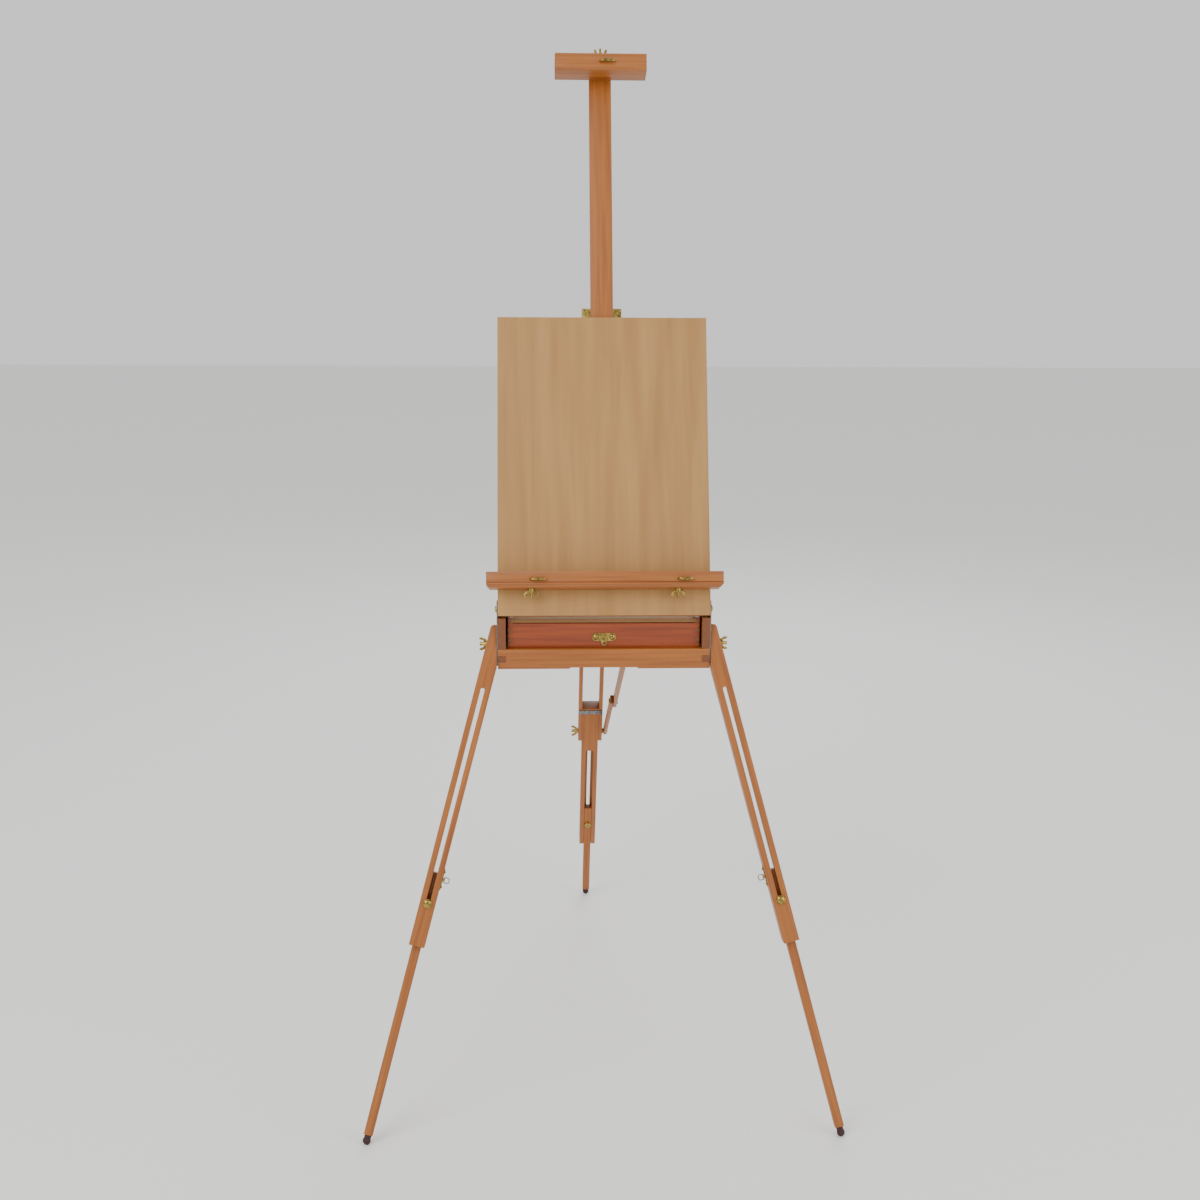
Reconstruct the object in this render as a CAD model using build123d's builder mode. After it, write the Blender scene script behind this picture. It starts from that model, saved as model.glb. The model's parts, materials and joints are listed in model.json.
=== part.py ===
"""Full-size French box easel: a drawer box on three telescopic legs, with a tilting lid and a mast.

Working frame: X to the artist's right, Y away from the artist, Z up from the floor,
with y = 0 at the front of the box. The export moves everything so that the origin
lies on the floor under the middle of the easel. All sizes are in millimetres.
"""
from build123d import *
import os
from math import atan2, cos, degrees, radians, sin

# ---- driving dimensions: the box ----
box_width = 335.0
box_depth = 480.0
box_height = 82.0
box_bottom = 730.0
side_thick = 12.5
rail_height = 32.0
end_thick = 12.0
panel_thick = 5.0
rail_relief_width = 113.0
rail_relief_height = 2.0
# ---- the drawer and the palette ----
drawer_gap = 3.5
drawer_wall = 8.0
drawer_recess = 9.0
drawer_front_height = 40.0
drawer_floor_thick = 3.0
drawer_top_gap = 1.5
palette_thick = 5.0
palette_depth = 330.0
groove_depth = 3.0
# ---- the lid, its hinge and its stays ----
lid_depth = 25.0
lid_lean = 20.4
lid_panel_thick = 4.0
lid_rail_thick = side_thick
lid_foot_width = 16.0
lid_gap = 0.5
strap_thick = 1.6
strap_width = 26.0
stay_radius = 50.0
stay_band = 14.0
stay_thick = 1.5
stay_screw_angle = -25.0
# ---- the tray and the mast ----
tray_width = 369.0
tray_height = 24.5
tray_depth = 36.0
tray_base = 41.0
tray_hook_x = 114.7
canvas_height = 813.0
mast_width = 36.0
mast_depth = 14.0
mast_length = 480.0
head_width = 148.0
head_height = 28.0
# ---- the front legs ----
leg_width = 25.0
leg_depth = 28.0
leg_splay = 14.6
leg_lean = 14.4
leg_pivot_y = 18.0
leg_pivot_height = 37.0
leg_heel_drop = 36.0
leg_crown = 63.0
leg_shoulder = 6.0
leg_length = 456.0
leg_slot_start = 38.0
leg_slot_foot = 0.7
leg_extension_top = 340.0
leg_knob_station = 387.0
leg_catch_station = 348.0
foot_radius = 6.5
# ---- the rear leg and its brace ----
fork_hinge_y = 440.0
fork_hinge_drop = 27.0
fork_rail_thick = 7.0
fork_depth = 24.0
fork_length = 326.0
fork_tail = 16.0
rear_foot_y = 770.0
rear_width = 32.0
rear_depth = 24.0
rear_head = 68.0
rear_length = 312.0
rear_slot_start = 44.0
rear_slot_foot = 14.0
rear_extension_cover = 104.0
rear_knob_rise = 56.0
brace_width = 16.0
brace_tail = 16.0
brace_thick = 6.0
brace_anchor_y = 60.0
# ---- hardware and clearances ----
bolt_radius = 3.0
stud_radius = 2.0
hook_radius = 2.2
extension_width = 14.4
slot_width = 6.6
nut_grip = 13.0
wood_gap = 0.3
run_gap = 0.05
foot_gap = 0.2
big = 400.0

# ---- values worked out from the sizes above ----
rear_extension_top = rear_length - rear_extension_cover
rear_knob_station = rear_length - rear_knob_rise
# The channel takes the whole ball foot when the leg is shortened.
channel_depth = 2 * (foot_radius + foot_gap)
half_box = box_width / 2
box_top = box_bottom + box_height
inner_half = half_box - side_thick
rail_top = box_bottom + rail_height
floor_top = rail_top - wood_gap
hinge_y = lid_depth / 2
hinge_z = box_top + lid_gap + lid_depth / 2
splay = radians(leg_splay)
lean = radians(leg_lean)
seat_x = half_box + strap_thick + 0.2
leg_pivot_z = box_bottom + leg_pivot_height
fork_z = floor_top - panel_thick - fork_hinge_drop
drawer_half = inner_half - drawer_gap
drawer_floor = floor_top + wood_gap
drawer_top = box_top - drawer_top_gap
drawer_end_y = box_depth - end_thick - 2.0
drawer_floor_rise = 2.0
drawer_inside_floor = drawer_floor + drawer_floor_rise + drawer_floor_thick
pieces = {}


def keep(builder, name):
    """File the finished solid under its name."""
    builder.part.label = name
    pieces[name] = builder.part


def keep_pair(builder, name):
    """File a right-hand piece together with its mirror image, as two separate solids."""
    with BuildPart() as pair:
        add(builder.part)
        mirror(about=Plane.YZ)
    keep(pair, name)


def keep_mirrored(builder, stem):
    """File a right-hand piece, and its mirror image on the left, under two names."""
    keep(builder, f"right_{stem}")
    with BuildPart() as twin:
        add(builder.part)
        mirror(about=Plane.YZ, mode=Mode.REPLACE)
    keep(twin, f"left_{stem}")


def box_between(low, high, mode=Mode.ADD):
    """A block between two opposite corners of the working frame."""
    size = [b - a for a, b in zip(low, high)]
    with Locations(Location(tuple((a + b) / 2 for a, b in zip(low, high)))):
        Box(*size, mode=mode)


def rod_along(plane, radius, start, end, mode=Mode.ADD):
    """A round rod or hole along the plane's normal, from start to end."""
    with Locations(plane.offset((start + end) / 2).location):
        Cylinder(radius, end - start, mode=mode)


def dome(place, radius, height):
    """A domed head: a short cone with its rims softened, standing on the given place."""
    with Locations(place):
        Cone(radius, 0.55 * radius, height, align=(Align.CENTER, Align.CENTER, Align.MIN))


def finger_spans(low, high, count, first):
    """Every other span of a finger joint of count fingers, from the first."""
    step = (high - low) / count
    return [(low + i * step, low + (i + 1) * step) for i in range(first, count, 2)]


# ================= the box =================
rail_fingers = 3
back_fingers = 7

with BuildPart() as side:
    box_between((inner_half, 0, box_bottom), (half_box, box_depth, box_top))
    for low, high in finger_spans(box_bottom, rail_top, rail_fingers, 0):
        box_between((inner_half, 0, low), (half_box, end_thick, high), Mode.SUBTRACT)
    for low, high in finger_spans(box_bottom, box_top, back_fingers, 0):
        back_low = (inner_half, box_depth - end_thick, low)
        box_between(back_low, (half_box, box_depth, high), Mode.SUBTRACT)
    bolt_axis = Plane(origin=(0, leg_pivot_y, leg_pivot_z), x_dir=(0, 1, 0), z_dir=(1, 0, 0))
    rod_along(bolt_axis, bolt_radius + run_gap, inner_half, half_box, Mode.SUBTRACT)
    rod_along(bolt_axis, 7.0, inner_half, inner_half + 2.5, Mode.SUBTRACT)
    screw_y = hinge_y + stay_radius * cos(radians(stay_screw_angle))
    screw_z = hinge_z + stay_radius * sin(radians(stay_screw_angle))
    stay_axis = Plane(origin=(0, screw_y, screw_z), x_dir=(0, 1, 0), z_dir=(1, 0, 0))
    rod_along(stay_axis, stud_radius, inner_half, half_box - 4.0, Mode.SUBTRACT)
keep_pair(side, "box_sides")

with BuildPart() as front_rail:
    box_between((-half_box, 0, box_bottom), (half_box, end_thick, rail_top))
    for low, high in finger_spans(box_bottom, rail_top, rail_fingers, 1):
        for sign in (-1, 1):
            inner, outer = sorted((sign * inner_half, sign * half_box))
            box_between((inner, 0, low), (outer, end_thick, high), Mode.SUBTRACT)
    with BuildSketch(Plane.XZ):
        with Locations((0, box_bottom)):
            Trapezoid(rail_relief_width, 2 * rail_relief_height, 45)
    extrude(amount=-end_thick, mode=Mode.SUBTRACT)
keep(front_rail, "front_rail")

with BuildPart() as back_board:
    back_y = box_depth - end_thick
    box_between((-half_box, back_y, box_bottom), (half_box, box_depth, box_top))
    for low, high in finger_spans(box_bottom, box_top, back_fingers, 1):
        for sign in (-1, 1):
            inner, outer = sorted((sign * inner_half, sign * half_box))
            box_between((inner, back_y, low), (outer, box_depth, high), Mode.SUBTRACT)
keep(back_board, "back_board")

with BuildPart() as bottom_board:
    floor_low = (-inner_half, end_thick, floor_top - panel_thick)
    box_between(floor_low, (inner_half, box_depth - end_thick, floor_top))
keep(bottom_board, "bottom_board")

# ================= the drawer and the palette =================
drawer_fingers = 5
front_top = drawer_floor + drawer_front_height
front_y = drawer_recess
inside_half = drawer_half - drawer_wall

with BuildPart() as drawer_side:
    box_between((inside_half, front_y, drawer_floor), (drawer_half, drawer_end_y, drawer_top))
    for low, high in finger_spans(drawer_floor, front_top, drawer_fingers, 0):
        high_corner = (drawer_half, front_y + drawer_wall, high)
        box_between((inside_half, front_y, low), high_corner, Mode.SUBTRACT)
    groove_low = front_top + 1.0
    groove_high = groove_low + palette_thick + 2 * wood_gap
    groove_outer = inside_half + groove_depth + wood_gap
    groove_end = (groove_outer, front_y + palette_depth + wood_gap, groove_high)
    box_between((inside_half, front_y, groove_low), groove_end, Mode.SUBTRACT)
    floor_end = (inside_half + groove_depth, drawer_end_y - drawer_wall, drawer_inside_floor)
    floor_low = (inside_half, front_y + drawer_wall, drawer_floor + drawer_floor_rise)
    box_between(floor_low, floor_end, Mode.SUBTRACT)

with BuildPart() as drawer_front:
    front_end = (drawer_half, front_y + drawer_wall, front_top)
    box_between((-drawer_half, front_y, drawer_floor), front_end)
    for low, high in finger_spans(drawer_floor, front_top, drawer_fingers, 1):
        for sign in (-1, 1):
            inner, outer = sorted((sign * inside_half, sign * drawer_half))
            box_between((inner, front_y, low), (outer, front_y + drawer_wall, high), Mode.SUBTRACT)
keep(drawer_front, "drawer_front")

with BuildPart() as drawer_back:
    rear_low = (-inside_half, drawer_end_y - drawer_wall, drawer_floor)
    box_between(rear_low, (inside_half, drawer_end_y, drawer_top - 8.0))
with BuildPart() as drawer_walls:
    add(Compound(children=[drawer_side.part, mirror(drawer_side.part, about=Plane.YZ), drawer_back.part]))
keep(drawer_walls, "drawer_walls")

with BuildPart() as drawer_bottom:
    wide = inside_half + groove_depth
    bottom_low = (-wide, front_y + drawer_wall, drawer_floor + drawer_floor_rise)
    box_between(bottom_low, (wide, drawer_end_y - drawer_wall, drawer_inside_floor))
keep(drawer_bottom, "drawer_bottom")

divider_thick = 5.0
divider_top = front_top - 4.0
with BuildPart() as dividers:
    for x in (-inside_half / 3, inside_half / 3):
        low = (x - divider_thick / 2, front_y + drawer_wall, drawer_inside_floor)
        box_between(low, (x + divider_thick / 2, drawer_end_y - drawer_wall, divider_top))
keep(dividers, "drawer_dividers")

with BuildPart() as palette:
    palette_low = groove_low + wood_gap
    reach = inside_half + groove_depth
    palette_end = (reach, front_y + palette_depth, palette_low + palette_thick)
    box_between((-reach, front_y, palette_low), palette_end)
    with BuildSketch(Plane.XY.offset(palette_low)):
        with Locations((reach - 70.0, front_y + 75.0)):
            Ellipse(24.0, 16.0)
    extrude(amount=palette_thick, mode=Mode.SUBTRACT)
keep(palette, "palette")

# The drawer catch: a back plate on the drawer front and a turning latch tongue on a rivet.
latch_z = drawer_floor + drawer_front_height / 2 - 2.0
latch_width = 39.0
latch_height = 20.0
latch_plate_thick = 1.2
rivet_radius = 2.0
latch_plane = Plane(origin=(0, front_y, latch_z), x_dir=(1, 0, 0), z_dir=(0, -1, 0))
with BuildPart() as latch_plate:
    with BuildSketch(latch_plane):
        RectangleRounded(latch_width, latch_height, 4.0)
    extrude(amount=latch_plate_thick)
    rod_along(latch_plane, rivet_radius, latch_plate_thick, latch_plate_thick + 2.8)
    for x in (-13.0, 13.0):
        dome(latch_plane.location * Location((x, 0, latch_plate_thick)), 4.4, 3.0)
keep(latch_plate, "latch_plate")

with BuildPart() as latch_tongue:
    with BuildSketch(latch_plane.offset(latch_plate_thick + 0.2)):
        Circle(7.0)
        with Locations((0, -9.0)):
            SlotOverall(10.0, 6.0, rotation=90)
        Circle(rivet_radius + run_gap, mode=Mode.SUBTRACT)
    extrude(amount=1.8)
keep(latch_tongue, "latch_tongue")

# ================= the lid, modelled shut and then opened about its hinge =================
lid_open = 90.0 - lid_lean
lid_turn = Rotation(lid_open, 0, 0)
# In this frame X is across, Y runs up the lid from its lower end, and Z is its outer face's normal.
lid_frame = Plane(Location((0, hinge_y, hinge_z)) * lid_turn * Location((0, -hinge_y, lid_depth / 2)))
lid_half = half_box - 0.2
rail_inner = lid_half - lid_rail_thick


def lid_block(low, high, mode=Mode.ADD):
    """A block between two corners given in the lid's own frame."""
    middle = lid_frame.from_local_coords(tuple((a + b) / 2 for a, b in zip(low, high)))
    place = Plane(origin=middle, x_dir=lid_frame.x_dir, z_dir=lid_frame.z_dir)
    with Locations(place.location):
        Box(*[b - a for a, b in zip(low, high)], mode=mode)


def lid_axis(x, up, out, direction):
    """A plane whose normal runs along the lid's x, up or out direction, at a point of the lid."""
    origin = lid_frame.from_local_coords((x, up, out))
    if direction == "x":
        return Plane(origin=origin, x_dir=lid_frame.y_dir, z_dir=lid_frame.x_dir)
    if direction == "up":
        return Plane(origin=origin, x_dir=lid_frame.x_dir, z_dir=lid_frame.y_dir)
    return Plane(origin=origin, x_dir=lid_frame.x_dir, z_dir=lid_frame.z_dir)


def lid_profile(x_low, x_high, length):
    """A rail of the lid with its heel rounded about the hinge, so that it clears the box."""
    profile_plane = lid_axis(x_low, 0, 0, "x")
    with BuildSketch(profile_plane) as profile:
        with BuildLine():
            heel = lid_depth / 2 - 0.3
            under = lid_depth / 2 + heel
            heel_middle = (hinge_y - heel * cos(radians(45)), -lid_depth / 2 - heel * sin(radians(45)))
            l1 = Line((hinge_y - heel, -lid_panel_thick), (length, -lid_panel_thick))
            l2 = Line(l1 @ 1, (length, -under))
            l3 = Line(l2 @ 1, (hinge_y, -under))
            l4 = ThreePointArc(l3 @ 1, heel_middle, (hinge_y - heel, -lid_depth / 2))
            Line(l4 @ 1, l1 @ 0)
        make_face()
    extrude(profile.sketch, amount=x_high - x_low)


pivot_screw_radius = 2.5
with BuildPart() as lid_side:
    lid_profile(rail_inner, lid_half, box_depth)
    screw_axis = lid_axis(0, hinge_y, -lid_depth / 2, "x")
    rod_along(screw_axis, pivot_screw_radius + run_gap, rail_inner, lid_half, Mode.SUBTRACT)
keep_pair(lid_side, "lid_side_rails")


def lid_cross_rail(up_low, up_high):
    """A cross rail between the lid's side rails."""
    lid_block((-rail_inner, up_low, -lid_depth / 2 - heel_reach), (rail_inner, up_high, -lid_panel_thick))


heel_reach = lid_depth / 2 - 0.3
with BuildPart() as lid_bottom_rail:
    lid_profile(-rail_inner, rail_inner, lid_foot_width)

mast_half = mast_width / 2
mast_back = -lid_panel_thick - wood_gap - mast_depth
with BuildPart() as lid_top_rail:
    lid_cross_rail(box_depth - lid_rail_thick, box_depth)
    notch_low = (-mast_half - wood_gap, box_depth - lid_rail_thick, mast_back - wood_gap)
    lid_block(notch_low, (mast_half + wood_gap, box_depth, -lid_panel_thick), Mode.SUBTRACT)
with BuildPart() as lid_cross_rails:
    add([lid_bottom_rail.part, lid_top_rail.part])
keep(lid_cross_rails, "lid_cross_rails")

with BuildPart() as lid_panel:
    lid_block((-lid_half, 0.2, -lid_panel_thick), (lid_half, box_depth, 0))
keep(lid_panel, "lid_panel")

guide_width = 12.0
with BuildPart() as mast_guides:
    for sign in (-1, 1):
        near = mast_half + wood_gap
        low_x, high_x = sorted((sign * near, sign * (near + guide_width)))
        guide_low = (low_x, lid_foot_width, mast_back - wood_gap)
        lid_block(guide_low, (high_x, box_depth - lid_rail_thick, -lid_panel_thick))
keep(mast_guides, "mast_guides")

# Steel straps carry the lid. Their lower ends lie between the box sides and the front legs.
strap_low = box_bottom + 5.0
with BuildPart() as strap:
    strap_plane = Plane(origin=(half_box, 0, 0), x_dir=(0, 1, 0), z_dir=(1, 0, 0))
    with BuildSketch(strap_plane):
        with Locations((leg_pivot_y - 2.0, (strap_low + hinge_z) / 2)):
            Rectangle(strap_width, hinge_z - strap_low)
        with Locations((leg_pivot_y - 2.0, hinge_z)):
            Circle(strap_width / 2)
        with Locations((leg_pivot_y, leg_pivot_z)):
            Circle(bolt_radius + run_gap, mode=Mode.SUBTRACT)
        with Locations((hinge_y, hinge_z)):
            Circle(pivot_screw_radius, mode=Mode.SUBTRACT)
    extrude(amount=strap_thick)
    split(bisect_by=lid_axis(0, 0, 0.5, "out"), keep=Keep.BOTTOM)
keep_pair(strap, "lid_hinge_straps")

with BuildPart() as pivot_screws:
    pivot_plane = Plane(origin=(0, hinge_y, hinge_z), x_dir=(0, 1, 0), z_dir=(1, 0, 0))
    rod_along(pivot_plane, pivot_screw_radius, rail_inner + 1.0, half_box + strap_thick)
    rod_along(pivot_plane, 5.0, half_box + strap_thick, half_box + strap_thick + 2.0)

# Quadrant stays: brass arcs about the hinge axis, so one screw in each slot follows the lid exactly.
stay_end_angle = lid_open + 1.0
slot_sweep = lid_open
stay_outer = rail_inner
stay_arc = CenterArc((0, 0), stay_radius, stay_screw_angle, stay_end_angle - stay_screw_angle)
slot_arc = CenterArc((0, 0), stay_radius, stay_screw_angle, slot_sweep)
stay_inner_x = stay_outer - stay_thick
with BuildPart() as stay:
    with BuildSketch(Plane(origin=(stay_inner_x, hinge_y, hinge_z), x_dir=(0, 1, 0), z_dir=(1, 0, 0))):
        SlotArc(stay_arc, stay_band)
        SlotArc(slot_arc, 2 * stud_radius + 0.8, mode=Mode.SUBTRACT)
    extrude(amount=stay_thick)
keep_pair(stay, "quadrant_stays")

with BuildPart() as stay_screws:
    rod_along(stay_axis, stud_radius, inner_half - stay_thick - 0.7, half_box - 4.0)
    rod_along(stay_axis, 4.5, inner_half - stay_thick - 1.7, inner_half - stay_thick - 0.6)


# ================= hardware shared by all the clamps =================
def wing_nut(name, plane, bore):
    """A wing nut seated at the plane's origin, with its axis along the plane's normal."""
    with BuildPart() as nut:
        with BuildSketch(plane):
            Circle(5.0)
        with BuildSketch(plane.offset(6.5)):
            Circle(3.9)
        loft()
        wing_plane = Plane(origin=plane.origin, x_dir=plane.x_dir, z_dir=-plane.y_dir)
        with BuildSketch(wing_plane.offset(-0.9)):
            with BuildLine():
                right = Polyline((2.5, 2.0), (6.5, 2.2), (10.5, 8.5), (10.6, 12.0))
                tip = ThreePointArc(right @ 1, (9.0, 13.4), (7.2, 12.0))
                inner = Polyline(tip @ 1, (5.0, 6.8), (2.5, 6.0))
                Line(inner @ 1, right @ 0)
            make_face()
            mirror(about=Plane.YZ)
        extrude(amount=1.8)
        rod_along(plane, bore, -0.5, 16.0, Mode.SUBTRACT)
    keep(nut, name)


# ================= the tray, the mast and the canvas holders =================
hook_up = tray_base + 12.5
head_base = tray_base + tray_height + canvas_height
head_hook_up = head_base + 14.0
hook_reach = 22.0
hook_bend = 5.0
stud_stand = 15.0


def canvas_hook(name, x, up):
    """A rod that runs through the holder and bends to the right across its face."""
    with BuildPart() as hook:
        with BuildLine(lid_axis(x, up, 0, "up")):
            depth = tray_depth + 5.0
            FilletPolyline((0, -2.0), (0, -depth), (hook_reach, -depth), radius=hook_bend)
        with BuildSketch(lid_axis(x, up, 2.0, "out")):
            Circle(hook_radius)
        sweep()
    keep(hook, name)


with BuildPart() as tray:
    with BuildSketch(lid_axis(-tray_width / 2, 0, 0, "x")):
        with BuildLine():
            top = tray_base + tray_height
            Polyline((tray_base, 0.1), (top, 0.1), (top, tray_depth), (tray_base + 8.6, tray_depth),
                     (tray_base + 7.8, tray_depth - 1.4), (tray_base + 7.0, tray_depth),
                     (tray_base + 4.5, tray_depth), (tray_base, tray_depth - 5.0), close=True)
        make_face()
    extrude(amount=tray_width)
    for x in (-tray_hook_x, tray_hook_x):
        rod_along(lid_axis(x, hook_up, 0, "out"), hook_radius + run_gap, 0, tray_depth, Mode.SUBTRACT)
        stud_plane = lid_axis(x, tray_base, tray_depth / 2, "up")
        rod_along(stud_plane, stud_radius, 0, 9.5, Mode.SUBTRACT)
    corners = tray.edges().filter_by(Axis((0, 0, 0), lid_frame.z_dir)).filter_by(
        lambda e: abs(lid_frame.to_local_coords(e.center()).Y - tray_base) < 1)
    chamfer(corners, 5.0)
keep(tray, "canvas_tray")

for side_name, x in (("left", -tray_hook_x), ("right", tray_hook_x)):
    canvas_hook(f"{side_name}_tray_hook", x, hook_up)
    nut_seat = lid_axis(x, tray_base - 0.2, tray_depth / 2, "up").rotated((180, 0, 0))
    wing_nut(f"{side_name}_tray_wing_nut", nut_seat, stud_radius + run_gap)

with BuildPart() as tray_studs:
    for x in (-tray_hook_x, tray_hook_x):
        stud_plane = lid_axis(x, tray_base, tray_depth / 2, "up")
        rod_along(stud_plane, stud_radius, -stud_stand, 9.5)
keep(tray_studs, "tray_studs")

with BuildPart() as mast:
    mast_top = head_base + head_height
    mast_low = (-mast_half, mast_top - mast_length, mast_back)
    lid_block(mast_low, (mast_half, mast_top, -lid_panel_thick - wood_gap))
keep(mast, "mast")

head_back = -lid_panel_thick - wood_gap
with BuildPart() as head_block:
    lid_block((-head_width / 2, head_base, head_back), (head_width / 2, mast_top, tray_depth))
    front_edges = head_block.faces().sort_by(Axis((0, 0, 0), lid_frame.z_dir))[-1].edges()
    chamfer(front_edges, 1.5)
    hook_bore = lid_axis(0, head_hook_up, 0, "out")
    rod_along(hook_bore, hook_radius + run_gap, head_back, tray_depth, Mode.SUBTRACT)
    rod_along(lid_axis(0, head_hook_up, tray_depth / 2, "up"), stud_radius, 3.0, head_height, Mode.SUBTRACT)
keep(head_block, "head_block")

canvas_hook("head_hook", 0, head_hook_up)
head_stud_plane = lid_axis(0, mast_top, tray_depth / 2, "up")
with BuildPart() as head_stud:
    rod_along(head_stud_plane, stud_radius, head_hook_up + 3.0 - mast_top, stud_stand)
keep(head_stud, "head_stud")
wing_nut("head_wing_nut", head_stud_plane.offset(0.2), stud_radius + run_gap)

# A brass bracket on the lid's end carries the wing screw that presses on the mast.
bracket_thick = 2.0
bracket_reach = 20.0
with BuildPart() as bracket:
    clamp_back = mast_back - wood_gap - bracket_thick
    foot_x = mast_half + 14.0
    plate_end = (foot_x, box_depth + bracket_reach, clamp_back + bracket_thick)
    lid_block((-foot_x, box_depth, clamp_back), plate_end)
    for sign in (-1, 1):
        low_x, high_x = sorted((sign * (mast_half + 2.0), sign * foot_x))
        lid_block((low_x, box_depth, clamp_back), (high_x, box_depth + bracket_thick, -lid_panel_thick - 2.0))
    clamp_plane = lid_axis(0, box_depth + bracket_reach / 2 + 2.0, clamp_back, "out").rotated((180, 0, 0))
    rod_along(clamp_plane, stud_radius + run_gap, -bracket_thick, 0, Mode.SUBTRACT)
keep(bracket, "mast_clamp_bracket")
wing_nut("mast_wing_screw", clamp_plane.offset(0.3), stud_radius)
with BuildPart() as wing_screw:
    add(pieces["mast_wing_screw"])
    rod_along(clamp_plane, stud_radius, -bracket_thick - 0.1, 8.0)
keep(wing_screw, "mast_wing_screw")


# ================= the front legs =================
pivot_place = (seat_x, leg_pivot_y, leg_pivot_z)
seat_plane = Plane(origin=pivot_place, x_dir=(1, 0, 0), z_dir=(0, sin(lean), cos(lean)))
heel_x = leg_width / 2 * cos(splay)
heel_z = -leg_heel_drop + leg_width / 2 * sin(splay)
leg_origin = seat_plane.from_local_coords((heel_x, 0, heel_z))
leg_up = (-sin(splay), cos(splay) * sin(lean), cos(splay) * cos(lean))
leg_out = (cos(splay), sin(splay) * sin(lean), sin(splay) * cos(lean))
# In this frame X points outwards, Y back and Z up the leg. Stations are measured down from its origin.
leg_frame = Plane(origin=leg_origin, x_dir=leg_out, z_dir=leg_up)
channel_middle = leg_depth / 2 - channel_depth / 2


def frame_block(frame, low, high, mode=Mode.ADD):
    """A block between two corners given in any frame."""
    middle = frame.from_local_coords(tuple((a + b) / 2 for a, b in zip(low, high)))
    with Locations(Plane(origin=middle, x_dir=frame.x_dir, z_dir=frame.z_dir).location):
        Box(*[b - a for a, b in zip(low, high)], mode=mode)


def frame_axis(frame, x, y, z, direction):
    """A plane whose normal runs along the frame's x or y direction, at a point of the frame."""
    origin = frame.from_local_coords((x, y, z))
    if direction == "x":
        return Plane(origin=origin, x_dir=frame.z_dir, z_dir=frame.x_dir)
    return Plane(origin=origin, x_dir=frame.x_dir, z_dir=frame.y_dir)


def reach_to_floor(frame, y):
    """How far down the leg, at depth y in it, the middle of a ball foot stands on the floor."""
    start = frame.from_local_coords((0, y, 0))
    return (start.Z - foot_radius) / frame.z_dir.Z


def slotted_leg(frame, width, depth, crown, length, slot_low, slot_high, open_side):
    """An upper leg with a channel open at the front or back and a bolt slot through the other wall."""
    frame_block(frame, (-width / 2, -depth / 2, -length), (width / 2, depth / 2, crown))
    channel_half = extension_width / 2 + wood_gap
    faces = sorted((open_side * depth / 2, open_side * (depth / 2 - channel_depth)))
    frame_block(frame, (-channel_half, faces[0], -length), (channel_half, faces[1], -slot_low), Mode.SUBTRACT)
    slot_size = slot_high - slot_low
    with BuildSketch(frame_axis(frame, 0, -depth / 2, -(slot_low + slot_high) / 2, "y")) as slot:
        SlotOverall(slot_size, slot_width, rotation=90)
    extrude(slot.sketch, amount=depth, mode=Mode.SUBTRACT)


def extension(name, frame, y, top, knob, reach):
    """A sliding lower leg with its bolt hole, centred in the channel at depth y."""
    y_low = y - channel_depth / 2 + wood_gap
    y_high = y + channel_depth / 2 - wood_gap
    with BuildPart() as lower:
        half = extension_width / 2
        end = -(reach - foot_radius - 4.0)
        frame_block(frame, (-half, y_low, end), (half, y_high, -top))
        hole = frame_axis(frame, 0, 0, -knob, "y")
        rod_along(hole, bolt_radius, -big / 4, big / 4, Mode.SUBTRACT)
    keep(lower, name)


def ball_foot(name, frame, y, reach):
    """A turned foot: a neck plugged on the leg's end and a ball that stands on the floor."""
    with BuildPart() as foot:
        base = Plane(origin=frame.from_local_coords((0, y, -reach)), x_dir=frame.x_dir, z_dir=frame.z_dir)
        with Locations(base.location):
            Sphere(foot_radius)
        with BuildSketch(base):
            Circle(foot_radius * 0.8)
        with BuildSketch(base.offset(foot_radius + 4.0)):
            Circle(extension_width / 2 - 1.4)
        loft()
    keep(foot, name)


def clamp_bolt(name, frame, depth, knob, head_side, grip):
    """A domed bolt through slot and extension, with its head on one face and its thread on the other."""
    with BuildPart() as bolt:
        direction = frame_axis(frame, 0, head_side * depth / 2, -knob, "y")
        outward = direction if head_side > 0 else direction.rotated((180, 0, 0))
        with BuildSketch(outward.offset(0.2)):
            Circle(7.5)
        extrude(amount=1.5)
        with BuildSketch(outward.offset(1.7)):
            Circle(6.0)
        with BuildSketch(outward.offset(4.2)):
            Circle(3.4)
        loft()
        rod_along(outward, bolt_radius, -depth - grip, 1.0)
    keep(bolt, name)
    return outward


spot_x = 14.0
# The slot stops just below the clamp bolt, so the leg stands at its full length.
leg_slot_end = leg_knob_station + slot_width / 2 + leg_slot_foot
with BuildPart() as upper_leg:
    slotted_leg(leg_frame, leg_width, leg_depth, leg_crown, leg_length, leg_slot_start, leg_slot_end, 1)
    split(bisect_by=Plane(origin=(seat_x, 0, 0), z_dir=(1, 0, 0)), keep=Keep.TOP)
    crown_edges = upper_leg.edges().filter_by(Axis((0, 0, 0), leg_frame.y_dir)).sort_by(Axis.Z)
    fillet(crown_edges[-1], leg_shoulder)
    pivot_hole = Plane(origin=pivot_place, x_dir=(0, 1, 0), z_dir=(1, 0, 0))
    rod_along(pivot_hole, bolt_radius + run_gap, -1.0, big / 8, Mode.SUBTRACT)
    rod_along(pivot_hole, 8.0, spot_x, big / 8, Mode.SUBTRACT)
keep_mirrored(upper_leg, "upper_leg")

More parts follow.
